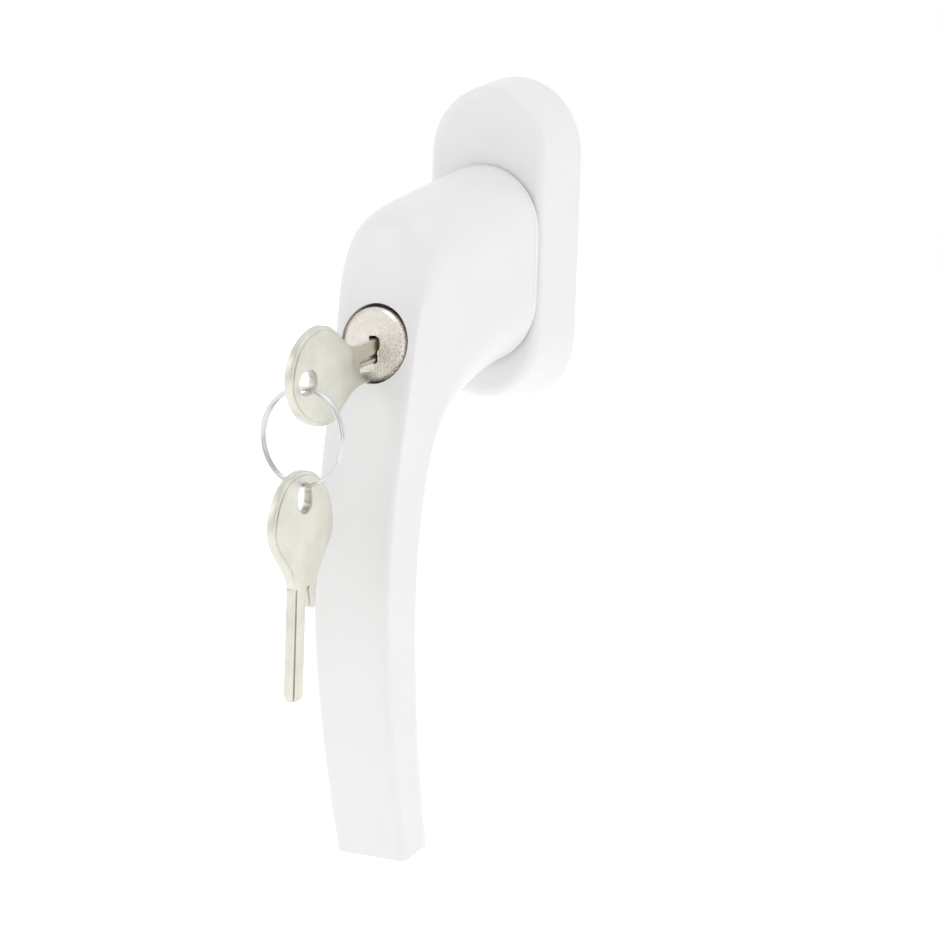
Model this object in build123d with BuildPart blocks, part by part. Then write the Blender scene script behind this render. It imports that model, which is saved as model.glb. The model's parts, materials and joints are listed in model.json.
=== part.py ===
from build123d import *
from math import cos, radians, sin
import os

# Keyed window handle: an oblong rosette, a swan-neck handle that hangs down, and a lock
# cylinder in the handle's front with its key, a split ring and a spare key.
# Millimetres. The window frame's face is the plane Y = 0 and the room is on the -Y side.
# The origin is where the spindle's axis meets the window frame. +Z is up.
# "Depth" is the distance from the window frame's face towards the room.

# Rosette
ROSETTE_HEIGHT = 70.0
ROSETTE_WIDTH = 33.0
COVER_DEPTH = 11.35
COVER_WALL = 1.2
COVER_DRAFT = 12.4
COVER_EDGE = 2.2
PLATE_THICKNESS = 5.0
PLATE_WIDTH = 28.0
PLATE_HEIGHT = 65.0
PLATE_RECESS_RADIUS = 10.4
PLATE_RECESS_DEPTH = 3.4
SCREW_PITCH = 43.0
SCREW_HOLE_RADIUS = 2.6
LUG_RADIUS = 5.0
LUG_LENGTH = 2.5

# Bearing and turning stops
SPIGOT_RADIUS = 6.5
BEARING_CLEARANCE = 0.05
BUSH_WALL = 1.05
HUB_RADIUS = 11.0
HUB_FRONT = 18.4
NOTCH_FLOOR = 8.3
NOTCH_WIDTH = 5.5
NOTCH_REAR = 13.0
CAM_SIDE = 15.0
CAM_REAR = 1.7
CAM_FRONT = 3.3
SPIGOT_FLAT = 6.0
SPIGOT_REAR = 0.4
GROOVE_RADIUS = 5.7
CIRCLIP_REAR = 0.8
CIRCLIP_FRONT = 1.6

# Spindle
SPINDLE_SIDE = 7.0
SPINDLE_LENGTH = 50.0
SPINDLE_REACH = 14.0
SOCKET_CLEARANCE = 0.05

# Handle casting
NECK_REAR = 11.9
BACKPLATE_THICKNESS = 1.3
NECK_WIDTH = 28.5
NECK_TOP = 16.3
NECK_BOTTOM = -25.4
SPIGOT_FRONT = 37.5
HUB_POCKET_RADIUS = 11.4
HUB_POCKET_FLOOR = 18.9

# Lock cylinder, its axis parallel to the spindle's
LOCK_Z = -19.8
LOCK_HOLE_RADIUS = 8.14
HOUSING_RADIUS = 8.0
HOUSING_FRONT = 48.6
HOUSING_REAR = 28.8
HOUSING_FLOOR = 31.0
PLUG_RADIUS = 6.5
PLUG_FRONT = 48.9
PLUG_REAR = 31.2
CAP_RADIUS = 7.75
CAP_FRONT = 51.2
CAP_BEVEL = 0.7
KEYWAY_WIDTH = 2.3
KEYWAY_HEIGHT = 6.0
KEYWAY_Z = -21.0
TAIL_RADIUS = 3.0
TAIL_BORE_RADIUS = 4.3
TAIL_FRONT = 18.4
CRANK_THROW = 2.12
CRANK_PIN_RADIUS = 0.8
CRANK_PIN_REAR = 13.6
CRANK_REST_ANGLE = -45.0

# Locking slider
SLIDER_REAR = 13.4
SLIDER_FRONT = 16.7
SLIDER_GAP = 0.15
SLIDER_WIDTH = 10.0
TONGUE_WIDTH = 5.0
SLIDER_BOTTOM = -24.0
SLIDER_SHOULDER = -16.0
TONGUE_TIP = -11.5
SLIDER_TRAVEL = 3.0

# Keys: measured from the blade's tip towards the bow
KEY_LENGTH = 46.0
KEY_BOW_WIDE_AT = 34.5
KEY_BOW_HALF_WIDTH = 10.0
KEY_BOW_THICKNESS = 2.3
KEY_BLADE_THICKNESS = 1.8
KEY_BLADE_WIDTH = 4.5
KEY_BLADE_OFFSET = -0.75
KEY_ROOT = 22.5
KEY_GROOVE_OFFSET = 1.0
KEY_GROOVE_WIDTH = 0.8
KEY_GROOVE_DEPTH = 0.45
KEY_PRONG_TIP = 18.3
KEY_PRONG_OUTER = 4.9
KEY_PRONG_INNER = 3.1
KEY_HOLE_AT = 40.6
KEY_HOLE_LENGTH = 6.2
KEY_HOLE_WIDTH = 4.8
KEY_RIM = 0.8
KEY_STEP_AT = 25.4
KEY_DROOP = 11.0
KEY_HOLE_DEPTH = 74.5
KEY_HOLE_Z = -26.5

# Split ring
RING_MEAN_RADIUS = 9.6
RING_WIRE_RADIUS = 0.38
RING_TURN_OFFSET = 0.34
RING_HANG = 1.15
SPARE_HANG = 0.75

os.makedirs("parts", exist_ok=True)


def level(depth):
    """Drawing plane parallel to the window frame, with X to the right and Z up."""
    return Plane.XZ.offset(depth)


def level_at(depth, x, z):
    """The same plane with its origin moved to x, z."""
    return Plane(origin=(x, -depth, z), x_dir=(1, 0, 0), z_dir=(0, -1, 0))


def save(piece, name):
    piece.part.label = name
    export_step(piece.part, f"parts/{name}.step")


# ---------------------------------------------------------------- rosette

inner_draft = ROSETTE_WIDTH - 2 * COVER_WALL

with BuildPart() as rosette_cover:
    with BuildSketch(level(0)):
        SlotOverall(ROSETTE_HEIGHT, ROSETTE_WIDTH, rotation=90)
    extrude(amount=COVER_DEPTH, taper=COVER_DRAFT)
    front_rim = rosette_cover.faces().sort_by(Axis.Y)[0].edges()
    fillet(front_rim, COVER_EDGE)
    with BuildSketch(level(0)):
        SlotOverall(ROSETTE_HEIGHT - 2 * COVER_WALL, inner_draft, rotation=90)
    extrude(amount=COVER_DEPTH - COVER_WALL, taper=COVER_DRAFT, mode=Mode.SUBTRACT)
    with BuildSketch(level(0)):
        Circle(HUB_POCKET_RADIUS)
    extrude(amount=COVER_DEPTH, mode=Mode.SUBTRACT)
save(rosette_cover, "rosette_cover")

screw_places = [(0, SCREW_PITCH / 2), (0, -SCREW_PITCH / 2)]
post_places = [(x, z) for x in (-8.0, 8.0) for z in (-24.0, 24.0)]
hook_places = [(x, z) for x in (-PLATE_WIDTH / 2, PLATE_WIDTH / 2) for z in (-12.0, 12.0)]
bush_radius = SPIGOT_RADIUS + BEARING_CLEARANCE + BUSH_WALL

with BuildPart() as base_plate:
    with BuildSketch(level(0)):
        SlotOverall(PLATE_HEIGHT, PLATE_WIDTH, rotation=90)
    extrude(amount=PLATE_THICKNESS)
    with BuildSketch(level(0)):
        with Locations(*screw_places):
            Circle(LUG_RADIUS)
    extrude(amount=-LUG_LENGTH)
    with BuildSketch(level(PLATE_THICKNESS)):
        Circle(HUB_RADIUS)
    extrude(amount=HUB_FRONT - PLATE_THICKNESS)
    with BuildSketch(level(PLATE_THICKNESS)):
        with Locations(*post_places):
            Circle(1.8)
    extrude(amount=COVER_DEPTH - COVER_WALL - PLATE_THICKNESS)
    with BuildSketch(level(1.8)):
        with Locations(*hook_places):
            Rectangle(1.1, 6.0)
    extrude(amount=1.2)
    with BuildSketch(level(-LUG_LENGTH)):
        with Locations(*screw_places):
            Circle(SCREW_HOLE_RADIUS)
    extrude(amount=LUG_LENGTH + PLATE_THICKNESS, mode=Mode.SUBTRACT)
    with BuildSketch(level(0)):
        Circle(PLATE_RECESS_RADIUS)
        with Locations((-8.1, 0), (8.1, 0)):
            Rectangle(1.6, 29.0)
    extrude(amount=PLATE_RECESS_DEPTH, mode=Mode.SUBTRACT)
    with BuildSketch(level(0)):
        Circle(bush_radius)
    extrude(amount=HUB_FRONT, mode=Mode.SUBTRACT)
    notch_depth = HUB_RADIUS + 1.0 - NOTCH_FLOOR
    with BuildSketch(level(NOTCH_REAR)):
        with PolarLocations(NOTCH_FLOOR + notch_depth / 2, 4):
            Rectangle(notch_depth, NOTCH_WIDTH)
    extrude(amount=HUB_FRONT - NOTCH_REAR, mode=Mode.SUBTRACT)
save(base_plate, "base_plate")

with BuildPart() as bearing_bush:
    with BuildSketch(level(PLATE_RECESS_DEPTH)):
        Circle(bush_radius)
        Circle(SPIGOT_RADIUS + BEARING_CLEARANCE, mode=Mode.SUBTRACT)
    extrude(amount=HUB_FRONT - PLATE_RECESS_DEPTH)
save(bearing_bush, "bearing_bush")

with BuildPart() as detent_springs:
    for side in (-1, 1):
        with BuildSketch(level(CAM_REAR)):
            with BuildLine():
                Polyline((side * 8.6, 14.2), (side * 7.8, 9.0), (side * 7.8, -9.0), (side * 8.6, -14.2))
                offset(amount=0.2, side=Side.BOTH)
            make_face()
        extrude(amount=CAM_FRONT - CAM_REAR)
save(detent_springs, "detent_springs")

# ---------------------------------------------------------------- handle

# Side view of the casting: depth and height along its rear and lower outline, then along
# its front and upper outline, both from the neck to the grip's free end.
rear_outline = [
    (13.2, -25.5),
    (20.0, -27.1),
    (28.0, -30.1),
    (34.0, -33.0),
    (38.2, -36.2),
    (41.0, -40.0),
    (43.2, -46.5),
    (44.7, -56.0),
    (45.1, -68.0),
    (44.0, -81.0),
    (42.1, -95.0),
    (39.5, -109.0),
    (36.2, -122.6),
]
front_outline = [
    (13.2, 16.0),
    (22.5, 13.7),
    (32.0, 11.1),
    (40.0, 8.7),
    (45.5, 5.6),
    (48.2, 0.0),
    (49.6, -10.0),
    (51.6, -26.0),
    (55.2, -46.0),
    (56.8, -64.5),
    (56.3, -81.0),
    (54.1, -96.0),
    (51.0, -110.5),
    (46.8, -125.9),
]

# How the casting changes from its neck (0) to its free end (1)
section_steps = [0.0, 0.1, 0.2, 0.3, 0.4, 0.5, 0.7, 1.0]
share_of_rear = [0.0, 0.10, 0.20, 0.26, 0.31, 0.36, 0.50, 1.0]
share_of_front = [0.0, 0.115, 0.20, 0.25, 0.29, 0.34, 0.505, 1.0]
casting_width = [28.4, 26.6, 24.4, 22.4, 20.8, 19.9, 19.2, 17.4]
rear_radius = [13.9, 11.5, 8.5, 6.3, 5.2, 4.6, 4.4, 4.2]
front_radius = [13.9, 12.6, 10.8, 8.0, 4.4, 2.0, 1.8, 1.7]
SECTION_COUNT = 31

backplate_screw_places = [(-8.4, -16.8), (8.4, -16.8)]


def between(values, share):
    """Smooth curve through the values given at section_steps."""
    last = len(section_steps) - 2
    index = min(sum(1 for step in section_steps[1:] if step <= share), last)
    span = section_steps[index + 1] - section_steps[index]
    local = (share - section_steps[index]) / span
    slopes = []
    for place in (index, index + 1):
        before = max(place - 1, 0)
        after = min(place + 1, last + 1)
        rise = values[after] - values[before]
        slopes.append(span * rise / (section_steps[after] - section_steps[before]))
    start = values[index]
    change = values[index + 1] - start
    curve = 3 * change - 2 * slopes[0] - slopes[1]
    twist = slopes[0] + slopes[1] - 2 * change
    return start + local * (slopes[0] + local * (curve + local * twist))


def section_plane(rear, front):
    """Plane through both points that holds X, with its origin midway between them."""
    return Plane(origin=(rear + front) / 2, x_dir=(1, 0, 0), z_dir=Vector(1, 0, 0).cross(front - rear))


rear_guide = Spline(*[(0, -depth, z) for depth, z in rear_outline])
front_guide = Spline(*[(0, -depth, z) for depth, z in front_outline])

with BuildPart() as handle_casting:
    for number in range(SECTION_COUNT):
        share = number / (SECTION_COUNT - 1)
        rear = rear_guide @ between(share_of_rear, share)
        front = front_guide @ between(share_of_front, share)
        with BuildSketch(section_plane(rear, front)) as outline:
            Rectangle(between(casting_width, share), (front - rear).length)
            fillet(outline.vertices().group_by(Axis.Y)[0], between(rear_radius, share))
            fillet(outline.vertices().group_by(Axis.Y)[-1], between(front_radius, share))
    loft()
    with BuildSketch(level(NECK_REAR)):
        Circle(HUB_POCKET_RADIUS)
    extrude(amount=HUB_POCKET_FLOOR - NECK_REAR, mode=Mode.SUBTRACT)
    with BuildSketch(level(NECK_REAR)):
        Circle(SPIGOT_RADIUS)
    extrude(amount=SPIGOT_FRONT - NECK_REAR, mode=Mode.SUBTRACT)
    with BuildSketch(level_at(HOUSING_REAR, 0, LOCK_Z)):
        Circle(LOCK_HOLE_RADIUS)
    extrude(amount=30.0, mode=Mode.SUBTRACT)
    with BuildSketch(level_at(NECK_REAR, 0, LOCK_Z)):
        Circle(TAIL_BORE_RADIUS)
    extrude(amount=HOUSING_REAR - NECK_REAR, mode=Mode.SUBTRACT)
    slider_top = SLIDER_SHOULDER + SLIDER_TRAVEL + 0.3
    with BuildSketch(level(NECK_REAR)):
        with Locations((0, (SLIDER_BOTTOM - 0.3 + slider_top) / 2)):
            Rectangle(SLIDER_WIDTH + 2 * SLIDER_GAP, slider_top - SLIDER_BOTTOM + 0.3)
        with Locations((0, -12.0)):
            Rectangle(TONGUE_WIDTH + 2 * SLIDER_GAP, 8.0)
    extrude(amount=SLIDER_FRONT + SLIDER_GAP - NECK_REAR, mode=Mode.SUBTRACT)
    with BuildSketch(level(NECK_REAR)):
        with Locations(*backplate_screw_places):
            Circle(1.0)
    extrude(amount=7.5, mode=Mode.SUBTRACT)
    set_screw_depth = 34.0
    with BuildSketch(Plane(origin=(0, -set_screw_depth, LOCK_Z), z_dir=(0, 0, -1))):
        Circle(1.5)
    extrude(amount=20.0, mode=Mode.SUBTRACT)
save(handle_casting, "handle_casting")

with BuildPart() as drive_spigot:
    with BuildSketch(level(SPIGOT_REAR)):
        Circle(SPIGOT_RADIUS)
    extrude(amount=SPIGOT_FRONT - SPIGOT_REAR)
    with BuildSketch(level(SPIGOT_REAR)):
        Circle(SPIGOT_RADIUS + 1.0)
        Rectangle(2 * SPIGOT_RADIUS + 2.0, 2 * SPIGOT_FLAT, mode=Mode.SUBTRACT)
    extrude(amount=CAM_FRONT - SPIGOT_REAR, mode=Mode.SUBTRACT)
    with BuildSketch(level(CIRCLIP_REAR)):
        Circle(SPIGOT_RADIUS + 1.0)
        Circle(GROOVE_RADIUS, mode=Mode.SUBTRACT)
    extrude(amount=CIRCLIP_FRONT - CIRCLIP_REAR, mode=Mode.SUBTRACT)
    with BuildSketch(level(SPIGOT_REAR)):
        Rectangle(SPINDLE_SIDE + 2 * SOCKET_CLEARANCE, SPINDLE_SIDE + 2 * SOCKET_CLEARANCE)
    extrude(amount=SPIGOT_FRONT - SPIGOT_REAR - 0.5, mode=Mode.SUBTRACT)
save(drive_spigot, "drive_spigot")

with BuildPart() as slide_washer:
    with BuildSketch(level(HUB_FRONT + 0.1)):
        Circle(HUB_RADIUS - 0.1)
        Circle(SPIGOT_RADIUS + 0.3, mode=Mode.SUBTRACT)
    extrude(amount=HUB_POCKET_FLOOR - HUB_FRONT - 0.1)
save(slide_washer, "slide_washer")

with BuildPart() as detent_cam:
    with BuildSketch(level(CAM_REAR)):
        RectangleRounded(CAM_SIDE, CAM_SIDE, 3.2)
        with BuildSketch(level(CAM_REAR), mode=Mode.SUBTRACT):
            Circle(SPIGOT_RADIUS)
            Rectangle(2 * SPIGOT_RADIUS, 2 * SPIGOT_FLAT, mode=Mode.INTERSECT)
    extrude(amount=CAM_FRONT - CAM_REAR)
save(detent_cam, "detent_cam")

with BuildPart() as retaining_ring:
    with BuildSketch(level(CIRCLIP_REAR)):
        Circle(8.0)
        with Locations((-2.4, 7.6), (2.4, 7.6)):
            Circle(1.5)
        Circle(GROOVE_RADIUS, mode=Mode.SUBTRACT)
        with Locations((0, 7.6)):
            Rectangle(2.2, 6.0, mode=Mode.SUBTRACT)
        with Locations((-2.5, 7.7), (2.5, 7.7)):
            Circle(0.6, mode=Mode.SUBTRACT)
    extrude(amount=CIRCLIP_FRONT - CIRCLIP_REAR)
save(retaining_ring, "retaining_ring")

with BuildPart() as neck_backplate:
    with BuildSketch(level_at(NECK_REAR, 0, (NECK_TOP + NECK_BOTTOM) / 2)):
        SlotOverall(NECK_TOP - NECK_BOTTOM, NECK_WIDTH, rotation=90)
    extrude(amount=BACKPLATE_THICKNESS)
    chamfer(neck_backplate.faces().sort_by(Axis.Y)[-1].edges(), 0.25)
    with BuildSketch(level(NECK_REAR)):
        Circle(HUB_POCKET_RADIUS)
        with Locations(*backplate_screw_places):
            Circle(1.3)
    extrude(amount=BACKPLATE_THICKNESS, mode=Mode.SUBTRACT)
    rear_face = neck_backplate.faces().sort_by(Axis.Y)[-1]
    chamfer(rear_face.edges().filter_by(GeomType.CIRCLE).group_by(SortBy.RADIUS)[0], 0.7)
save(neck_backplate, "neck_backplate")

with BuildPart() as backplate_screws:
    for x, z in backplate_screw_places:
        with BuildSketch(level_at(NECK_REAR + 0.05, x, z)):
            Circle(1.9)
        extrude(amount=0.8, taper=45)
        with BuildSketch(level_at(NECK_REAR + 0.05, x, z)):
            Circle(1.0)
        extrude(amount=6.5)
        with BuildSketch(level_at(NECK_REAR + 0.05, x, z)):
            Rectangle(1.9, 0.4)
            Rectangle(0.4, 1.9)
        extrude(amount=0.6, mode=Mode.SUBTRACT)
save(backplate_screws, "backplate_screws")

# ---------------------------------------------------------------- lock cylinder

with BuildPart() as cylinder_housing:
    with BuildSketch(level_at(HOUSING_REAR, 0, LOCK_Z)):
        Circle(HOUSING_RADIUS)
        Circle(TAIL_RADIUS + BEARING_CLEARANCE, mode=Mode.SUBTRACT)
    extrude(amount=HOUSING_FRONT - HOUSING_REAR)
    with BuildSketch(level_at(HOUSING_FLOOR, 0, LOCK_Z)):
        Circle(PLUG_RADIUS + BEARING_CLEARANCE)
        Rectangle(3.2, 14.2)
    extrude(amount=HOUSING_FRONT - HOUSING_FLOOR, mode=Mode.SUBTRACT)
    with BuildSketch(Plane(origin=(0, -set_screw_depth, LOCK_Z - 7.5), z_dir=(0, 0, -1))):
        Circle(1.5)
    extrude(amount=2.0, mode=Mode.SUBTRACT)
save(cylinder_housing, "cylinder_housing")

with BuildPart() as housing_set_screw:
    with BuildSketch(Plane(origin=(0, -set_screw_depth, LOCK_Z - 7.6), z_dir=(0, 0, -1))):
        Circle(1.45)
    extrude(amount=4.0)
    with BuildSketch(Plane(origin=(0, -set_screw_depth, LOCK_Z - 11.6), z_dir=(0, 0, 1))):
        RegularPolygon(0.75, 6, major_radius=False)
    extrude(amount=1.6, mode=Mode.SUBTRACT)
save(housing_set_screw, "housing_set_screw")

wafer_depths = [35.5, 38.5, 41.5, 44.5]
WAFER_THICKNESS = 0.8


def key_axis_z(depth):
    """Height of the middle of the inserted key's blade at a depth."""
    tip_depth = KEY_HOLE_DEPTH - KEY_HOLE_AT * cos(radians(KEY_DROOP))
    tip_z = KEY_HOLE_Z + KEY_HOLE_AT * sin(radians(KEY_DROOP))
    slope = sin(radians(KEY_DROOP)) / cos(radians(KEY_DROOP))
    return tip_z - (depth - tip_depth) * slope - KEY_BLADE_OFFSET / cos(radians(KEY_DROOP))


with BuildPart() as plug_cap:
    with BuildSketch(level_at(PLUG_FRONT, 0, LOCK_Z)):
        Circle(CAP_RADIUS)
    extrude(amount=CAP_FRONT - PLUG_FRONT)
    chamfer(plug_cap.faces().sort_by(Axis.Y)[0].edges(), CAP_BEVEL)
    with BuildSketch(level(PLUG_FRONT)):
        with Locations((0, KEYWAY_Z)):
            Rectangle(KEYWAY_WIDTH, KEYWAY_HEIGHT)
        with Locations((0.45, KEYWAY_Z + 1.2)):
            Circle(1.3)
    extrude(amount=CAP_FRONT - PLUG_FRONT, mode=Mode.SUBTRACT)
save(plug_cap, "plug_cap")

with BuildPart() as cylinder_plug:
    with BuildSketch(level_at(PLUG_REAR, 0, LOCK_Z)):
        Circle(PLUG_RADIUS)
    extrude(amount=PLUG_FRONT - PLUG_REAR)
    with BuildSketch(level(PLUG_REAR + 1.6)):
        with Locations((0, LOCK_Z)):
            Rectangle(KEYWAY_WIDTH, 10.4)
    extrude(amount=PLUG_FRONT - PLUG_REAR - 1.6, mode=Mode.SUBTRACT)
    for depth in wafer_depths:
        with BuildSketch(level_at(depth, 0, LOCK_Z)):
            Rectangle(6.3, 14.0)
        extrude(amount=WAFER_THICKNESS + 0.1, mode=Mode.SUBTRACT)
    with BuildSketch(level_at(PLUG_REAR, 0, LOCK_Z)):
        Rectangle(6.0, 2.0)
    extrude(amount=1.2, mode=Mode.SUBTRACT)
save(cylinder_plug, "cylinder_plug")

with BuildPart() as wafers:
    for depth in wafer_depths:
        with BuildSketch(level_at(depth + 0.05, 0, LOCK_Z)):
            RectangleRounded(6.1, 11.0, 0.6)
            with Locations((0, key_axis_z(depth + 0.45) - LOCK_Z)):
                Rectangle(2.6, KEY_BLADE_WIDTH + 0.9, mode=Mode.SUBTRACT)
        extrude(amount=WAFER_THICKNESS)
save(wafers, "wafers")

with BuildPart() as drive_cam:
    with BuildSketch(level_at(TAIL_FRONT, 0, LOCK_Z)):
        Circle(TAIL_RADIUS)
    extrude(amount=PLUG_REAR - TAIL_FRONT)
    with BuildSketch(level_at(TAIL_FRONT, 0, LOCK_Z)):
        Circle(TAIL_RADIUS + 0.9)
    extrude(amount=1.5)
    with BuildSketch(level_at(PLUG_REAR, 0, LOCK_Z)):
        Rectangle(6.0, 2.0)
        Circle(TAIL_RADIUS, mode=Mode.INTERSECT)
    extrude(amount=1.2)
    pin_x = CRANK_THROW * cos(radians(CRANK_REST_ANGLE))
    pin_z = LOCK_Z + CRANK_THROW * sin(radians(CRANK_REST_ANGLE))
    with BuildSketch(level_at(CRANK_PIN_REAR, pin_x, pin_z)):
        Circle(CRANK_PIN_RADIUS)
    extrude(amount=TAIL_FRONT - CRANK_PIN_REAR)
    with BuildSketch(level_at(27.6, 0, LOCK_Z)):
        Circle(TAIL_RADIUS + 1.0)
        Circle(2.4, mode=Mode.SUBTRACT)
    extrude(amount=0.8, mode=Mode.SUBTRACT)
save(drive_cam, "drive_cam")

with BuildPart() as plug_clip:
    with BuildSketch(level_at(27.6, 0, LOCK_Z)):
        Circle(4.0)
        Circle(2.4, mode=Mode.SUBTRACT)
        with Locations((0, -3.0)):
            Rectangle(3.4, 4.0, mode=Mode.SUBTRACT)
    extrude(amount=0.8)
save(plug_clip, "plug_clip")

with BuildPart() as lock_slider:
    with BuildSketch(level(SLIDER_REAR)):
        with Locations((0, (SLIDER_BOTTOM + SLIDER_SHOULDER) / 2)):
            Rectangle(SLIDER_WIDTH, SLIDER_SHOULDER - SLIDER_BOTTOM)
        with Locations((0, (SLIDER_SHOULDER + TONGUE_TIP) / 2)):
            Rectangle(TONGUE_WIDTH, TONGUE_TIP - SLIDER_SHOULDER)
        with Locations((1.9, pin_z)):
            SlotOverall(4.6, 2 * CRANK_PIN_RADIUS + 0.4, mode=Mode.SUBTRACT)
    extrude(amount=SLIDER_FRONT - SLIDER_REAR)
    tongue_tip = lock_slider.faces().sort_by(Axis.Z)[-1]
    chamfer(tongue_tip.edges().filter_by(Axis.Y), 0.5)
save(lock_slider, "lock_slider")

# ---------------------------------------------------------------- spindle

with BuildPart() as spindle:
    with BuildSketch(level(-SPINDLE_REACH)):
        Rectangle(SPINDLE_SIDE, SPINDLE_SIDE)
    extrude(amount=SPINDLE_LENGTH)
    chamfer(spindle.faces().group_by(Axis.Y)[0].edges(), 0.6)
    chamfer(spindle.faces().group_by(Axis.Y)[-1].edges(), 0.6)
save(spindle, "spindle")

# ---------------------------------------------------------------- keys and ring


blade_low = KEY_BLADE_OFFSET - KEY_BLADE_WIDTH / 2
blade_high = KEY_BLADE_OFFSET + KEY_BLADE_WIDTH / 2

# The bow and neck, from the root of the blade to the far end of the bow
with BuildSketch() as bow:
    with BuildLine():
        EllipticalCenterArc(
            (KEY_BOW_WIDE_AT, 0),
            KEY_LENGTH - KEY_BOW_WIDE_AT,
            KEY_BOW_HALF_WIDTH,
            start_angle=-90,
            arc_size=180,
        )
        Bezier((KEY_BOW_WIDE_AT, KEY_BOW_HALF_WIDTH), (30.5, 9.9), (28.5, 5.4), (KEY_ROOT, KEY_PRONG_OUTER))
        Line((KEY_ROOT, KEY_PRONG_OUTER), (KEY_ROOT, blade_low))
        Bezier((KEY_ROOT, blade_low), (27.0, -3.1), (29.3, -9.8), (KEY_BOW_WIDE_AT, -KEY_BOW_HALF_WIDTH))
    make_face()

# The bow's raised plate, set in from the bow's edge by the rim
plate_half_width = KEY_BOW_HALF_WIDTH - KEY_RIM
with BuildSketch() as raised_plate:
    with BuildLine():
        EllipticalCenterArc(
            (KEY_BOW_WIDE_AT, 0),
            KEY_LENGTH - KEY_RIM - KEY_BOW_WIDE_AT,
            plate_half_width,
            start_angle=-90,
            arc_size=180,
        )
        Bezier((KEY_BOW_WIDE_AT, plate_half_width), (31.0, 9.1), (29.2, 4.9), (KEY_STEP_AT, 4.7))
        Line((KEY_STEP_AT, 4.7), (KEY_STEP_AT, -3.1))
        Bezier((KEY_STEP_AT, -3.1), (28.2, -3.9), (30.0, -9.0), (KEY_BOW_WIDE_AT, -plate_half_width))
    make_face()


def make_key(tip, along, normal, name):
    """A stamped key in the YZ plane, with its bow's raised plate and a prong beside the blade."""
    key_plane = Plane(origin=tip, x_dir=along, z_dir=normal)
    with BuildPart() as key:
        with BuildSketch(key_plane):
            add(bow.sketch)
        extrude(amount=KEY_BLADE_THICKNESS / 2, both=True)
        with BuildSketch(key_plane):
            with BuildLine():
                Polyline(
                    (KEY_ROOT, KEY_PRONG_OUTER),
                    (KEY_PRONG_TIP + 0.5, KEY_PRONG_OUTER),
                    (KEY_PRONG_TIP, KEY_PRONG_OUTER - 0.5),
                    (KEY_PRONG_TIP, KEY_PRONG_INNER),
                    (KEY_ROOT - 0.3, (KEY_PRONG_INNER + blade_high) / 2),
                    (KEY_PRONG_TIP, blade_high),
                    (1.2, blade_high),
                    (0, blade_high - 1.2),
                    (0, blade_low + 1.2),
                    (1.2, blade_low),
                    (KEY_ROOT, blade_low),
                    close=True,
                )
            make_face()
        extrude(amount=KEY_BLADE_THICKNESS / 2, both=True)
        with BuildSketch(key_plane):
            add(raised_plate.sketch)
        extrude(amount=KEY_BOW_THICKNESS / 2, both=True)
        for side in (-1, 1):
            with BuildSketch(key_plane.offset(side * KEY_BLADE_THICKNESS / 2)):
                with Locations((12.6, KEY_BLADE_OFFSET + side * KEY_GROOVE_OFFSET)):
                    Rectangle(23.0, KEY_GROOVE_WIDTH)
            extrude(amount=-side * KEY_GROOVE_DEPTH, mode=Mode.SUBTRACT)
        with BuildSketch(key_plane):
            with Locations((KEY_HOLE_AT, 0)):
                SlotOverall(KEY_HOLE_LENGTH, KEY_HOLE_WIDTH)
        extrude(amount=10.0, both=True, mode=Mode.SUBTRACT)
    save(key, name)


droop_cos = cos(radians(KEY_DROOP))
droop_sin = sin(radians(KEY_DROOP))
key_direction = (0, -droop_cos, -droop_sin)
key_tip = (0, -KEY_HOLE_DEPTH + KEY_HOLE_AT * droop_cos, KEY_HOLE_Z + KEY_HOLE_AT * droop_sin)
make_key(key_tip, key_direction, (1, 0, 0), "key")

ring_top = KEY_HOLE_Z - KEY_HOLE_WIDTH / 2 * droop_cos + RING_HANG
ring_depth = KEY_HOLE_DEPTH
ring_centre = ring_top - RING_MEAN_RADIUS
ring_bottom = ring_centre - RING_MEAN_RADIUS

with BuildPart() as split_ring:
    with BuildSketch(Plane.YZ):
        with Locations((-ring_depth - RING_TURN_OFFSET, ring_top), (-ring_depth + RING_TURN_OFFSET, ring_top)):
            Circle(RING_WIRE_RADIUS)
    revolve(axis=Axis((0, 0, ring_centre), (0, 1, 0)))
save(split_ring, "split_ring")

spare_tip = (0, -ring_depth, ring_bottom + SPARE_HANG - KEY_HOLE_AT - KEY_HOLE_LENGTH / 2)
make_key(spare_tip, (0, 0, 1), (-1, 0, 0), "spare_key")
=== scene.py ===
import json
import math

import bpy
from mathutils import Matrix, Vector

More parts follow.
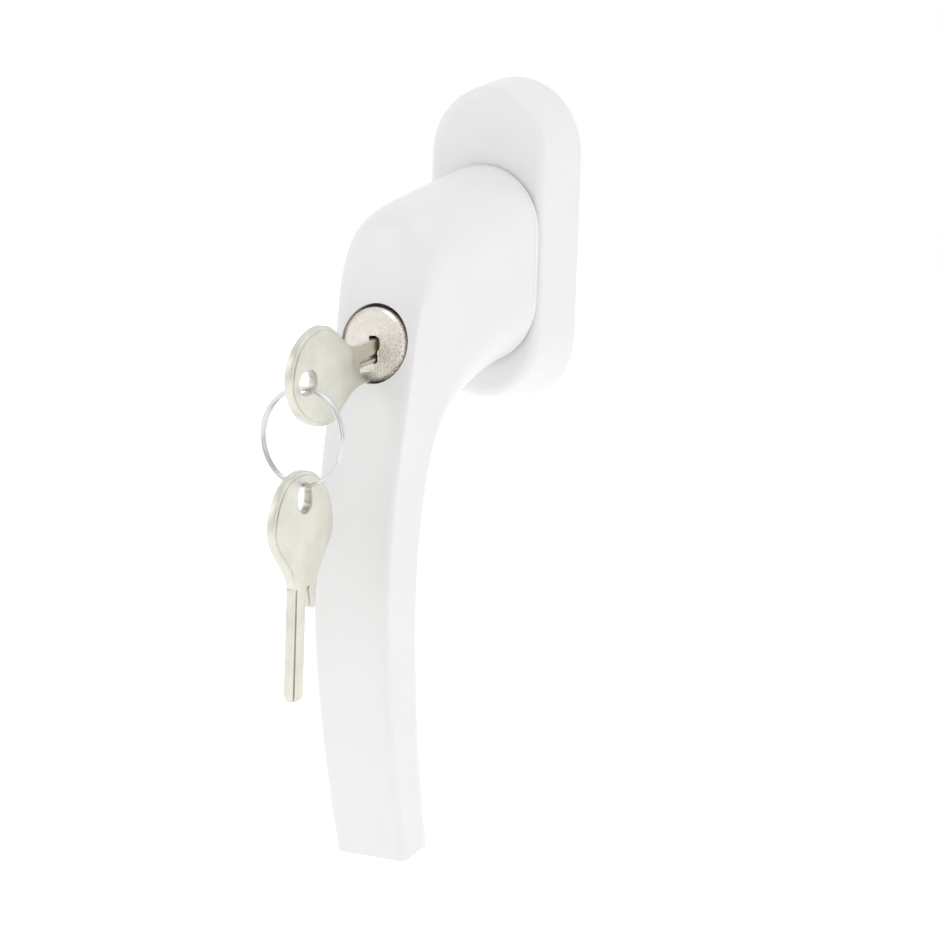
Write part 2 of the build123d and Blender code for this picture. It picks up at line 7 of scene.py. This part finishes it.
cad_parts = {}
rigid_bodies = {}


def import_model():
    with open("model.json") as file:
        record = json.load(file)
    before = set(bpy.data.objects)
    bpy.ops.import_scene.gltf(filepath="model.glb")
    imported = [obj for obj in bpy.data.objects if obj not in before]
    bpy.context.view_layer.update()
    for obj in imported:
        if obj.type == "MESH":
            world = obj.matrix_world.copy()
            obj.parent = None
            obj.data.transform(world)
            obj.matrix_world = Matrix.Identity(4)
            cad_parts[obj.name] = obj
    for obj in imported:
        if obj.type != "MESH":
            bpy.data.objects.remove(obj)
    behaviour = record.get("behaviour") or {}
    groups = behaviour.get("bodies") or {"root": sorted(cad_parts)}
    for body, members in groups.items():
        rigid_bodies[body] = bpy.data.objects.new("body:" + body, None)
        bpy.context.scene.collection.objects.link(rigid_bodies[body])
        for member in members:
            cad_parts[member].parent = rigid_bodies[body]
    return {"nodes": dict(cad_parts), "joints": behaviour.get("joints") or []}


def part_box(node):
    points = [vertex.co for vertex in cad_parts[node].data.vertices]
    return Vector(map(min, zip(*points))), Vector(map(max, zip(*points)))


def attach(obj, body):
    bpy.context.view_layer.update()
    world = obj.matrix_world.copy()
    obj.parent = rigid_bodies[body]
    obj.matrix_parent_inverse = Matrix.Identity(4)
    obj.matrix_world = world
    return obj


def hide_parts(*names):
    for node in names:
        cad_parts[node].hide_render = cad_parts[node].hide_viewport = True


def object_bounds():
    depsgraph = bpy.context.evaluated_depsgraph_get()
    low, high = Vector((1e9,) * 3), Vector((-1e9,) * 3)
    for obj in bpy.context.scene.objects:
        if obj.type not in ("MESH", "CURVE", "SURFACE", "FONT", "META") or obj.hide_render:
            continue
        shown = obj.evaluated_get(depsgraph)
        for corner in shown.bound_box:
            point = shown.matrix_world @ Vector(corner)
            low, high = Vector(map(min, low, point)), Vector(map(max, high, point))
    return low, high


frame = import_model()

# Looks of the keyed window handle: materials, the lock's face, the keys and the split ring.
# The frame is in metres. Sizes below are in millimetres, and MM turns them to metres. Lamps and
# floor are placed in metres.
MM = 0.001
cad_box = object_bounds()
scene = bpy.context.scene
nodes = frame["nodes"]
joints = {joint["name"]: joint for joint in frame["joints"]}


# ------------------------------------------------------------ materials

# Noise and blotches lie mostly between these two values
NOISE_LOW = 0.35
NOISE_HIGH = 0.65
LOWEST_ROUGHNESS = 0.02


class Finish:
    """A Principled material whose textures are laid out in metres on the piece."""

    def __init__(self, name, colour, metallic, roughness):
        self.material = bpy.data.materials.new(name)
        self.material.use_nodes = True
        self.tree = self.material.node_tree
        self.shader = self.tree.nodes["Principled BSDF"]
        self.shader.inputs["Metallic"].default_value = metallic
        self.colour = colour
        self.roughness = roughness
        self.place = self.tree.nodes.new("ShaderNodeTexCoord").outputs["Object"]
        self.bump = None

    def link(self, start, end):
        self.tree.links.new(start, end)

    def stretched(self, stretch):
        mapping = self.tree.nodes.new("ShaderNodeMapping")
        mapping.inputs["Scale"].default_value = stretch
        self.link(self.place, mapping.inputs["Vector"])
        return mapping.outputs["Vector"]

    def noise(self, size, detail, stretch):
        """Grey noise whose blotches are about size millimetres across."""
        noise = self.tree.nodes.new("ShaderNodeTexNoise")
        noise.inputs["Scale"].default_value = 1 / (size * MM)
        noise.inputs["Detail"].default_value = detail
        self.link(self.stretched(stretch), noise.inputs["Vector"])
        return noise.outputs["Fac"]

    def ranged(self, value, low, high, start=NOISE_LOW, stop=NOISE_HIGH):
        scale = self.tree.nodes.new("ShaderNodeMapRange")
        scale.inputs["From Min"].default_value = start
        scale.inputs["From Max"].default_value = stop
        scale.inputs["To Min"].default_value = low
        scale.inputs["To Max"].default_value = high
        self.link(value, scale.inputs["Value"])
        return scale.outputs["Result"]

    def mottle(self, size, change, stretch=(1, 1, 1)):
        """The colour gets darker and lighter by change, a share of 1, in blotches."""
        mix = self.tree.nodes.new("ShaderNodeMix")
        mix.data_type = "RGBA"
        dark = [part * (1 - change) for part in self.colour]
        light = [min(part * (1 + change), 1.0) for part in self.colour]
        mix.inputs["A"].default_value = (*dark, 1)
        mix.inputs["B"].default_value = (*light, 1)
        blotches = self.noise(size, detail=4.0, stretch=stretch)
        self.link(self.ranged(blotches, 0.0, 1.0), mix.inputs["Factor"])
        self.link(mix.outputs["Result"], self.shader.inputs["Base Color"])

    def wear(self, size, change, stretch=(1, 1, 1)):
        """The roughness goes from its value down and up by change in blotches."""
        low = max(self.roughness - change, LOWEST_ROUGHNESS)
        blotches = self.noise(size, detail=5.0, stretch=stretch)
        rough = self.ranged(blotches, low, self.roughness + change)
        self.link(rough, self.shader.inputs["Roughness"])

    def grain(self, size, height, stretch=(1, 1, 1), strength=None):
        """Relief height millimetres deep, laid on top of any relief so far."""
        bump = self.tree.nodes.new("ShaderNodeBump")
        bump.inputs["Distance"].default_value = height * MM
        bump.inputs["Strength"].default_value = 1.0
        if strength is not None:
            self.link(strength, bump.inputs["Strength"])
        self.link(self.noise(size, detail=2.0, stretch=stretch), bump.inputs["Height"])
        if self.bump is not None:
            self.link(self.bump, bump.inputs["Normal"])
        self.bump = bump.outputs["Normal"]
        self.link(self.bump, self.shader.inputs["Normal"])

    def towards(self, direction, start, stop):
        """0 to 1 along a direction, from start to stop millimetres from the frame's origin."""
        dot = self.tree.nodes.new("ShaderNodeVectorMath")
        dot.operation = "DOT_PRODUCT"
        dot.inputs[1].default_value = Vector(direction).normalized()
        self.link(self.place, dot.inputs[0])
        return self.ranged(dot.outputs["Value"], 0.0, 1.0, start * MM, stop * MM)


def powder_coat(name, colour):
    finish = Finish(name, colour, metallic=0.0, roughness=0.36)
    finish.mottle(size=24.0, change=0.012)
    finish.wear(size=9.0, change=0.05)
    finish.grain(size=1.1, height=0.006)
    finish.grain(size=0.22, height=0.0012)
    finish.shader.inputs["Coat Weight"].default_value = 0.12
    finish.shader.inputs["Coat Roughness"].default_value = 0.22
    return finish.material


def moulded(name, colour, roughness):
    finish = Finish(name, colour, 0.0, roughness)
    finish.mottle(size=15.0, change=0.03)
    finish.wear(size=4.0, change=0.07)
    finish.grain(size=0.35, height=0.003)
    finish.grain(size=3.0, height=0.008)
    return finish.material


def plated(name, colour, roughness, grain_size, grain_height, stretch=(1, 1, 1)):
    finish = Finish(name, colour, 1.0, roughness)
    finish.mottle(size=5.0, change=0.05)
    finish.wear(size=2.5, change=0.08, stretch=stretch)
    finish.grain(grain_size, grain_height, stretch)
    finish.grain(size=2.2, height=0.006)
    return finish.material


def lock_face():
    """Satin nickel that is smooth at the upper left and grainy at the lower right."""
    finish = Finish("lock_face", (0.76, 0.72, 0.665), metallic=1.0, roughness=0.30)
    finish.mottle(size=1.6, change=0.05)
    finish.wear(size=0.9, change=0.09)
    # Towards the lower right. The lock's centre lies within this span from the frame's origin.
    grainy = finish.towards((1, 0, -1), start=12.0, stop=16.0)
    finish.grain(size=0.40, height=0.30, strength=grainy)
    finish.grain(size=0.11, height=0.002)
    return finish.material


# For plated metal: colour, roughness, and size and height of its grain in millimetres
MATERIALS = {
    "white_coat": powder_coat("white_coat", (0.79, 0.79, 0.785)),
    "white_cover": powder_coat("white_cover", (0.80, 0.80, 0.795)),
    "zinc_casting": plated("zinc_casting", (0.46, 0.47, 0.48), 0.46, 0.45, 0.06),
    # Zinc darkened to near black: painted shade for the housing's rim in the gap round the plug
    "zinc_painted_shade": plated("zinc_painted_shade", (0.07, 0.07, 0.075), 0.55, 0.45, 0.04),
    "black_plastic": moulded("black_plastic", (0.03, 0.03, 0.032), roughness=0.5),
    "pale_plastic": moulded("pale_plastic", (0.72, 0.70, 0.64), roughness=0.42),
    "spring_steel": plated(
        "spring_steel", (0.30, 0.31, 0.34), 0.30, 0.16, 0.004, stretch=(1, 8, 1)
    ),
    "zinc_plated_steel": plated(
        "zinc_plated_steel", (0.62, 0.64, 0.67), 0.32, 0.22, 0.006, stretch=(1, 0.1, 1)
    ),
    "satin_nickel": lock_face(),
    "brass": plated("brass", (0.72, 0.55, 0.25), 0.30, 0.12, 0.004, stretch=(1, 0.15, 1)),
    "nickel_silver": plated(
        "nickel_silver", (0.70, 0.69, 0.615), 0.38, 0.10, 0.0025, stretch=(1, 1, 0.25)
    ),
    "bright_steel": plated("bright_steel", (0.68, 0.68, 0.70), 0.16, 0.09, 0.0012),
}


def dress(obj, slot_name):
    """The piece gets the material of that name."""
    obj.data.materials.clear()
    obj.data.materials.append(MATERIALS[slot_name])


NODE_FINISH = {
    "rosette_cover": "white_cover",
    "base_plate": "zinc_casting",
    "bearing_bush": "black_plastic",
    "detent_springs": "spring_steel",
    "handle_casting": "white_coat",
    "slide_washer": "pale_plastic",
    "detent_cam": "pale_plastic",
    "retaining_ring": "spring_steel",
    "neck_backplate": "white_cover",
    "backplate_screws": "zinc_plated_steel",
    "drive_spigot": "zinc_plated_steel",
    "cylinder_housing": "zinc_casting",
    "housing_set_screw": "zinc_plated_steel",
    "cylinder_plug": "brass",
    "wafers": "brass",
    "drive_cam": "zinc_casting",
    "plug_clip": "spring_steel",
    "lock_slider": "zinc_plated_steel",
    "spindle": "zinc_plated_steel",
}
for node, slot_name in NODE_FINISH.items():
    dress(nodes[node], slot_name)
# The housing's rim lies in deep shade between the plug's face and its hole, so it gets near-black
# zinc as painted shade
nodes["cylinder_housing"].data.materials[0] = MATERIALS["zinc_painted_shade"]


# ------------------------------------------------------------ making pieces

# A face is flat when its normal's share along the plate's own is at least this
FLAT_NORMAL = 0.999


def add_mesh(name, points, faces):
    mesh = bpy.data.meshes.new(name)
    mesh.from_pydata(points, [], faces)
    mesh.validate()
    mesh.update()
    obj = bpy.data.objects.new(name, mesh)
    scene.collection.objects.link(obj)
    return obj


def smooth(obj, angle):
    for face in obj.data.polygons:
        face.use_smooth = True
    obj.data.set_sharp_from_angle(angle=math.radians(angle))


def plate(name, outlines, thickness, bevel, rounding=3):
    """A flat plate midway about its own XY plane. Its first outline is its edge, others are
    holes."""
    curve = bpy.data.curves.new(name, "CURVE")
    curve.dimensions = "2D"
    curve.fill_mode = "BOTH"
    curve.extrude = (thickness / 2 - bevel) * MM
    curve.bevel_depth = bevel * MM
    curve.bevel_resolution = rounding
    curve.offset = -bevel * MM
    for outline in outlines:
        spline = curve.splines.new("POLY")
        spline.points.add(len(outline) - 1)
        for point, (u, v) in zip(spline.points, outline):
            point.co = (u * MM, v * MM, 0, 1)
        spline.use_cyclic_u = True
    drawn = bpy.data.objects.new(name + "_curve", curve)
    scene.collection.objects.link(drawn)
    bpy.context.view_layer.update()
    shown = drawn.evaluated_get(bpy.context.evaluated_depsgraph_get())
    mesh = bpy.data.meshes.new_from_object(shown)
    bpy.data.objects.remove(drawn)
    # Flat faces keep their own normal, and the rounded edge between them is smooth
    for face in mesh.polygons:
        face.use_smooth = abs(face.normal.z) < FLAT_NORMAL
    mesh.name = name
    obj = bpy.data.objects.new(name, mesh)
    scene.collection.objects.link(obj)
    return obj


def swept(name, path, section, angle):
    """Skin over rings: section(place) gives the ring's points in metres at each place on the
    path. Edges sharper than angle stay sharp."""
    rings = [section(place) for place in path]
    count = len(rings[0])
    points = [point for ring in rings for point in ring]
    faces = []
    for index in range(len(rings) - 1):
        for corner in range(count):
            after = (corner + 1) % count
            low = index * count
            high = low + count
            faces.append((low + corner, low + after, high + after, high + corner))
    faces.append(tuple(reversed(range(count))))
    faces.append(tuple(range(len(points) - count, len(points))))
    obj = add_mesh(name, points, faces)
    smooth(obj, angle)
    return obj


def circle(middle, first, second, radius, sides):
    """Points round middle in metres, from the first direction towards the second."""
    points = []
    for number in range(sides):
        around = 2 * math.pi * number / sides
        outward = first * math.cos(around) + second * math.sin(around)
        points.append(middle + outward * radius)
    return points


def joined(name, pieces):
    for obj in bpy.context.view_layer.objects:
        obj.select_set(obj in pieces)
    bpy.context.view_layer.objects.active = pieces[0]
    bpy.ops.object.join()
    pieces[0].name = name
    pieces[0].data.name = name
    return pieces[0]


def moved(obj, matrix):
    """Moves the mesh itself, so that the object stays at the frame's origin."""
    obj.data.transform(matrix)
    obj.data.update()


def bezier(start, near_start, near_end, end, steps):
    points = []
    for number in range(steps):
        t = number / steps
        a, b, c, d = (1 - t) ** 3, 3 * t * (1 - t) ** 2, 3 * t * t * (1 - t), t ** 3
        corners = zip(start, near_start, near_end, end)
        points.append(tuple(a * p + b * q + c * r + d * s for p, q, r, s in corners))
    return points


def ellipse(centre_u, centre_v, radius_u, radius_v, start, stop, steps):
    """Points from one angle to another in degrees, without the last one."""
    points = []
    for number in range(steps):
        angle = math.radians(start + (stop - start) * number / steps)
        u = centre_u + radius_u * math.cos(angle)
        v = centre_v + radius_v * math.sin(angle)
        points.append((u, v))
    return points


# ------------------------------------------------------------ keys

# Places along a key are measured from its tip
KEY_LENGTH = 46.0
BOW_WIDE_AT = 34.5
BOW_HALF_WIDTH = 10.0
# Where blade and prong meet the bow, and where the bow's thicker part ends
ROOT = 22.5
STEP_AT = 25.4
# The bow's thin edge round its thicker part
RIM = 0.8
HOLE_AT = 40.6
HOLE_LENGTH = 6.2
HOLE_WIDTH = 4.8
BLADE_THICKNESS = 1.8
BOW_THICKNESS = 2.3
RIM_BEVEL = 0.22
RAISED_BEVEL = 0.13
PRONG_BEVEL = 0.2
# The prong is thinner than the blade by this, so that no two faces lie in one plane
PRONG_EASE = 0.06
BLADE_LOW = -3.0
BLADE_HIGH = 1.5
PRONG_LOW = 3.1
PRONG_HIGH = 4.9
PRONG_TIP = 18.3
BOW_STEPS = 48
SHOULDER_STEPS = 24
HOLE_END_STEPS = 16


def slot_outline(centre_u, length, width):
    half = (length - width) / 2
    right = ellipse(centre_u + half, 0, width / 2, width / 2, -90, 90, HOLE_END_STEPS)
    left = ellipse(centre_u - half, 0, width / 2, width / 2, 90, 270, HOLE_END_STEPS)
    return right + left


def bow_outline():
    wide = BOW_HALF_WIDTH
    upper, lower = (BOW_WIDE_AT, wide), (BOW_WIDE_AT, -wide)
    points = ellipse(BOW_WIDE_AT, 0, KEY_LENGTH - BOW_WIDE_AT, wide, -90, 90, BOW_STEPS)
    points += bezier(upper, (30.5, 9.9), (28.5, 5.4), (ROOT, PRONG_HIGH), SHOULDER_STEPS)
    # The crotch between the prong and the blade
    points += [(ROOT, PRONG_HIGH), (ROOT, PRONG_LOW), (ROOT + 0.4, 2.3), (ROOT, BLADE_HIGH)]
    points += bezier((ROOT, BLADE_LOW), (27.0, -3.1), (29.3, -9.8), lower, SHOULDER_STEPS)
    return points


def raised_outline():
    """The bow's thicker part, set back by RIM from the bow's edge."""
    wide = BOW_HALF_WIDTH - RIM
    upper, lower = (BOW_WIDE_AT, wide), (BOW_WIDE_AT, -wide)
    step_upper, step_lower = (STEP_AT, 4.7), (STEP_AT, -3.1)
    points = ellipse(BOW_WIDE_AT, 0, KEY_LENGTH - RIM - BOW_WIDE_AT, wide, -90, 90, BOW_STEPS)
    points += bezier(upper, (31.0, 9.1), (29.2, 4.9), step_upper, SHOULDER_STEPS)
    points += [step_upper]
    points += bezier(step_lower, (28.2, -3.9), (30.0, -9.0), lower, SHOULDER_STEPS)
    return points


# Cross-section of the blade in v and w: a milled groove on each side and softened corners
BLADE_SECTION = [
    (-2.75, -0.9), (-2.15, -0.9), (-2.05, -0.3), (-1.45, -0.3), (-1.35, -0.76),
    (-0.3, -0.9), (1.25, -0.9), (1.5, -0.65), (1.5, 0.65), (1.25, 0.9),
    (0.65, 0.9), (0.55, 0.3), (-0.05, 0.3), (-0.15, 0.76), (-1.1, 0.9),
    (-2.75, 0.9), (-3.0, 0.65), (-3.0, -0.65),
]
# Distance from the tip, size of the section, and how much of the grooves' depth is left
BLADE_STATIONS = [
    (0.0, 0.62, 0.3), (0.5, 0.82, 1.0), (1.3, 1.0, 1.0), (12.0, 1.0, 1.0), (ROOT - 0.6, 1.0, 1.0),
    (ROOT - 0.1, 0.995, 0.6), (ROOT + 0.5, 0.96, 0.0), (ROOT + 1.2, 0.8, 0.0),
]
# Points of the section nearer than this to the blade's two edges keep their own depth
BLADE_EDGE = 0.1


def blade():
    middle = (BLADE_LOW + BLADE_HIGH) / 2

    def ring(place):
        u, scale, groove = place
        points = []
        for v, w in BLADE_SECTION:
            inside = BLADE_LOW + BLADE_EDGE < v < BLADE_HIGH - BLADE_EDGE
            side = math.copysign(BLADE_THICKNESS / 2, w)
            deep = side + (w - side) * groove if inside else w
            points.append((u * MM, (middle + (v - middle) * scale) * MM, deep * scale * MM))
        return points

    return swept("blade", BLADE_STATIONS, ring, angle=25.0)


def prong():
    radius = (PRONG_HIGH - PRONG_LOW) / 2
    inside_bow = ROOT + 0.8
    tip = ellipse(PRONG_TIP + radius, PRONG_LOW + radius, radius, radius, 90, 270, steps=14)
    outline = [(inside_bow, PRONG_HIGH - 0.05)] + tip + [(PRONG_TIP + 1.6, PRONG_LOW)]
    outline += [(ROOT - 0.2, PRONG_LOW - 0.5), (inside_bow, PRONG_LOW - 0.6)]
    return plate("prong", [outline], BLADE_THICKNESS - PRONG_EASE, PRONG_BEVEL)


def make_key(name, tip, along, normal):
    """A stamped key: u runs along it from the blade's tip, v towards the prong, w through it."""
    hole = slot_outline(HOLE_AT, HOLE_LENGTH, HOLE_WIDTH)
    rim = plate("rim", [bow_outline(), hole], BLADE_THICKNESS, RIM_BEVEL)
    raised = plate("raised", [raised_outline(), hole], BOW_THICKNESS, RAISED_BEVEL, rounding=1)
    key = joined(name + "_detailed", [rim, raised, blade(), prong()])
    across = normal.cross(along)
    turn = Matrix((along, across, normal)).transposed().to_4x4()
    moved(key, Matrix.Translation(tip) @ turn)
    dress(key, "nickel_silver")
    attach(key, name)
    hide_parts(name)


ring_anchor = Vector(joints["ring_swing"]["pos_m"])
ring_low, ring_high = (Vector(corner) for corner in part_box("split_ring"))
spare_low = Vector(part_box("spare_key")[0])

WIRE_RADIUS = 0.38
# From the lower edge of the inserted key's hole up to the middle of the ring's wire
RING_HANG = 1.15
# The inserted key's own axis is the way it is pulled out
key_along = Vector(joints["key_withdraw"]["axis"]).normalized()
hole_below = (HOLE_WIDTH / 2 * abs(key_along.y) - RING_HANG) * MM
hole_centre = ring_anchor + Vector((0, 0, hole_below))
hole_centre.x = 0.0
make_key("key", hole_centre - key_along * HOLE_AT * MM, key_along, Vector((1, 0, 0)))
spare_tip = Vector((0, ring_anchor.y, spare_low.z))
make_key("spare_key", spare_tip, Vector((0, 0, 1)), Vector((-1, 0, 0)))


# ------------------------------------------------------------ split ring

# Where the wire crosses over in degrees, and how far it turns there to each side in radians
CROSSING_ANGLE = -40.0
CROSSING_HALF = 0.24
# The wire's ends stop this far from the crossing
END_GAP = 0.06
WIRE_STEPS = 260
WIRE_SIDES = 14


def make_split_ring():
    """Wire wound twice round, whose two ends butt against the place where it crosses over."""
    centre = (ring_low + ring_high) / 2
    radius = (ring_high.z - ring_low.z) / 2 - WIRE_RADIUS * MM
    offset = (ring_high.y - ring_low.y) / 2 - WIRE_RADIUS * MM
    full = 2 * math.pi
    sideways = Vector((0, 1, 0))

    def ring(turn):
        share = (turn - full) / CROSSING_HALF
        ease = max(-1.0, min(1.0, share))
        angle = math.radians(CROSSING_ANGLE) + turn
        outward = Vector((math.cos(angle), 0, math.sin(angle)))
        shift = sideways * (offset * math.sin(ease * math.pi / 2))
        middle = centre + outward * radius + shift
        return circle(middle, outward, sideways, WIRE_RADIUS * MM, WIRE_SIDES)

    first = CROSSING_HALF + END_GAP
    last = 2 * full - first
    turns = [first + (last - first) * number / WIRE_STEPS for number in range(WIRE_STEPS + 1)]
    obj = swept("split_ring_detailed", turns, ring, angle=50.0)
    dress(obj, "bright_steel")
    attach(obj, "key_ring")
    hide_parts("split_ring")


make_split_ring()


# ------------------------------------------------------------ the lock's face

cap_low, cap_high = (Vector(corner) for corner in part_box("plug_cap"))
cap_centre = (cap_low + cap_high) / 2
CAP_RADIUS = (cap_high.x - cap_low.x) / 2 / MM
CAP_THICKNESS = (cap_high.y - cap_low.y) / MM

# Gap round the disc, which also sits a little low in its hole
RIM_GAP = 0.2
SAG = 0.16
# Bright bevelled rim, and how far the face inside it lies below the rim's top
BEVEL = 0.7
FACE_DEPTH = 0.16
FACE_BEVEL = 0.07
# Less than RIM_GAP, so that the face reaches under the rim
FACE_GAP = 0.18
FACE_STEPS = 96
RIM_STEPS = 128
LIP_RADIUS = 0.17
LIP_SINK = 0.03
LIP_SIDES = 10

# The keyway in u to the right and v up from the disc's centre, counterclockwise
KEYWAY = [
    (-1.1, 1.5), (-1.1, -4.0), (0.75, -4.0), (1.2, -3.5), (1.12, -2.6), (0.98, -1.9), (1.1, -1.4),
    (1.45, -1.05), (1.62, -0.4), (1.62, 0.35), (1.35, 1.05), (0.8, 1.45), (0.1, 1.6),
]

# Middle of the raised lip along the keyway's right-hand side
LIP_PATH = [
    (0.2, 1.8), (0.95, 1.62), (1.52, 1.18), (1.82, 0.4), (1.82, -0.42), (1.6, -1.15),
    (1.24, -1.55), (1.16, -1.95), (1.3, -2.6), (1.38, -3.55), (0.85, -4.2),
]


def face_rim(half):
    """The rim with a fine groove between it and the face. half is half the disc's thickness."""
    outer = CAP_RADIUS - RIM_GAP
    inner = CAP_RADIUS - BEVEL - RIM_GAP
    profile = [
        (inner, -half), (inner, half - 0.24), (inner + 0.06, half - 0.08), (inner + 0.16, half),
        (outer - BEVEL + 0.1, half - 0.03), (outer - 0.12, half - BEVEL + 0.1),
        (outer, half - BEVEL - 0.06), (outer, -half),
    ]

    def spoke(angle):
        cosine, sine = math.cos(angle), math.sin(angle)
        return [(r * cosine * MM, (r * sine - SAG) * MM, w * MM) for r, w in profile]

    angles = [2 * math.pi * number / RIM_STEPS for number in range(RIM_STEPS + 1)]
    return swept("rim", angles, spoke, angle=40.0)


def keyway_lip(height):
    """The lip as a round wire whose middle is at this height above the disc's middle."""
    def ring(place):
        index, (u, v) = place
        before = LIP_PATH[max(index - 1, 0)]
        after = LIP_PATH[min(index + 1, len(LIP_PATH) - 1)]
        along = Vector((after[0] - before[0], after[1] - before[1], 0)).normalized()
        side = Vector((-along.y, along.x, 0))
        middle = Vector((u, v, height)) * MM
        return circle(middle, side, Vector((0, 0, 1)), LIP_RADIUS * MM, LIP_SIDES)

    return swept("lip", list(enumerate(LIP_PATH)), ring, angle=60.0)


def make_lock_face():
    half = CAP_THICKNESS / 2
    radius = CAP_RADIUS - BEVEL - FACE_GAP
    edge = ellipse(0, -SAG, radius, radius, 0, 360, FACE_STEPS)
    face = plate("face", [edge, KEYWAY], CAP_THICKNESS - FACE_DEPTH, FACE_BEVEL, rounding=2)
    moved(face, Matrix.Translation((0, 0, -FACE_DEPTH / 2 * MM)))
    rim = face_rim(half)
    lip = keyway_lip(half - FACE_DEPTH - LIP_SINK)
    cap = joined("plug_cap_detailed", [face, rim, lip])
    turn = Matrix(((1, 0, 0), (0, 0, 1), (0, -1, 0))).transposed().to_4x4()
    moved(cap, Matrix.Translation(cap_centre) @ turn)
    dress(cap, "satin_nickel")
    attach(cap, "plug")
    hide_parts("plug_cap")


make_lock_face()


# ------------------------------------------------------------ camera

def place_camera():
    azimuth = math.radians(32.864)
    elevation = math.radians(6.128)
    roll = math.radians(1.879)
    distance = 0.7
    target = Vector((10.661, -30.0, -46.076)) * MM
    back = Vector((
        math.sin(azimuth) * math.cos(elevation),
        -math.cos(azimuth) * math.cos(elevation),
        math.sin(elevation),
    ))
    side = Vector((math.cos(azimuth), math.sin(azimuth), 0.0))
    upward = back.cross(side)
    right = side * math.cos(roll) + upward * math.sin(roll)
    up = upward * math.cos(roll) - side * math.sin(roll)
    data = bpy.data.cameras.new("camera")
    data.lens = 130.06
    data.sensor_width = 36.0
    data.clip_start = 0.01
    data.clip_end = 20.0
    camera = bpy.data.objects.new("camera", data)
    scene.collection.objects.link(camera)
    turn = Matrix((right, up, back)).transposed().to_4x4()
    camera.matrix_world = Matrix.Translation(target + back * distance) @ turn
    scene.camera = camera


place_camera()


# ------------------------------------------------------------ lights and floor

def area_light(name, place, size, power):
    data = bpy.data.lights.new(name, "AREA")
    data.shape = "SQUARE"
    data.size = size
    data.energy = power
    lamp = bpy.data.objects.new(name, data)
    scene.collection.objects.link(lamp)
    lamp.location = place
    aim = (Vector(cad_box[0]) + Vector(cad_box[1])) / 2
    lamp.rotation_euler = (aim - Vector(place)).to_track_quat("-Z", "Y").to_euler()


def studio_world():
    """White behind the object, and greyer behind the camera, so that the metal has something
    to mirror."""
    world = bpy.data.worlds.new("studio")
    world.use_nodes = True
    tree = world.node_tree
    place = tree.nodes.new("ShaderNodeTexCoord")
    split = tree.nodes.new("ShaderNodeSeparateXYZ")
    ramp = tree.nodes.new("ShaderNodeMapRange")
    ramp.inputs["From Min"].default_value = -0.5
    ramp.inputs["From Max"].default_value = 0.15
    ramp.inputs["To Min"].default_value = 0.72
    ramp.inputs["To Max"].default_value = 1.0
    tree.links.new(place.outputs["Generated"], split.inputs["Vector"])
    tree.links.new(split.outputs["Y"], ramp.inputs["Value"])
    tree.links.new(ramp.outputs["Result"], tree.nodes["Background"].inputs["Strength"])
    tree.nodes["Background"].inputs["Color"].default_value = (1, 1, 1, 1)
    scene.world = world


def floor_plane():
    half = 3.0
    gap_below_object = 0.03
    drop = cad_box[0][2] - gap_below_object
    corners = [
        (-half, -half, drop), (half, -half, drop), (half, half, drop), (-half, half, drop),
    ]
    floor = add_mesh("floor", corners, [(0, 1, 2, 3)])
    finish = Finish("floor_paper", (0.93, 0.93, 0.93), metallic=0.0, roughness=0.7)
    finish.mottle(size=60.0, change=0.004)
    finish.wear(size=30.0, change=0.05)
    finish.grain(size=1.5, height=0.02)
    finish.shader.inputs["Emission Color"].default_value = (1, 1, 1, 1)
    finish.shader.inputs["Emission Strength"].default_value = 0.3
    floor.data.materials.append(finish.material)


area_light("left_light", place=(-0.9, -0.8, 0.5), size=0.7, power=1.5)
area_light("top_light", place=(0.2, -0.3, 1.2), size=0.9, power=2.2)
area_light("right_light", place=(1.1, -0.2, 0.2), size=0.6, power=0.4)
studio_world()
floor_plane()
scene.view_settings.view_transform = "Standard"
